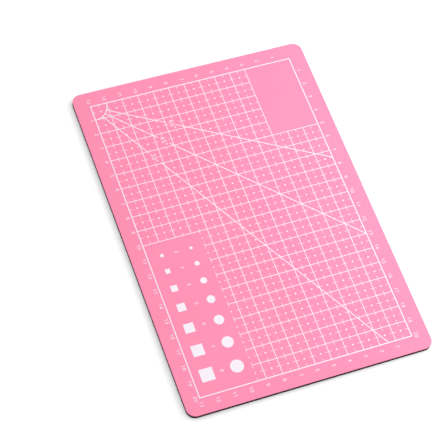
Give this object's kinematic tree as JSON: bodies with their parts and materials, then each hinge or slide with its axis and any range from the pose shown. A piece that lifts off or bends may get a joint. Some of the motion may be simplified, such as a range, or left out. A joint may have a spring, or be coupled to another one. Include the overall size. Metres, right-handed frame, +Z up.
{
  "type": "self healing mat",
  "caption": "Rectangular laminated cutting mat with rounded corners, a soft pink face ply over a hard black core, and a raised white printed centimetre grid, angle lines and size gauges.",
  "frame": {"origin": "centre of the underside", "axes": "+X along the long side, +Y along the short side away from the size gauges, +Z up out of the printed face"},
  "size_m": [0.22, 0.15, 0.003],
  "materials": {
    "face_ply": "matte",
    "core_ply": "matte",
    "backing_ply": "matte",
    "ink": "matte"
  },
  "bodies": {
    "root": {"top_skin": "face_ply", "core_sheet": "core_ply", "bottom_skin": "backing_ply", "frame_line_print": "ink", "grid_line_print": "ink", "half_centimetre_ticks": "ink", "centre_dot_print": "ink", "protractor_arc_print": "ink", "angle_line_print": "ink", "angle_numerals": "ink", "long_side_numerals": "ink", "short_side_numerals": "ink", "square_gauge_print": "ink", "disc_gauge_print": "ink", "gauge_numerals": "ink"}
  },
  "joints": []
}
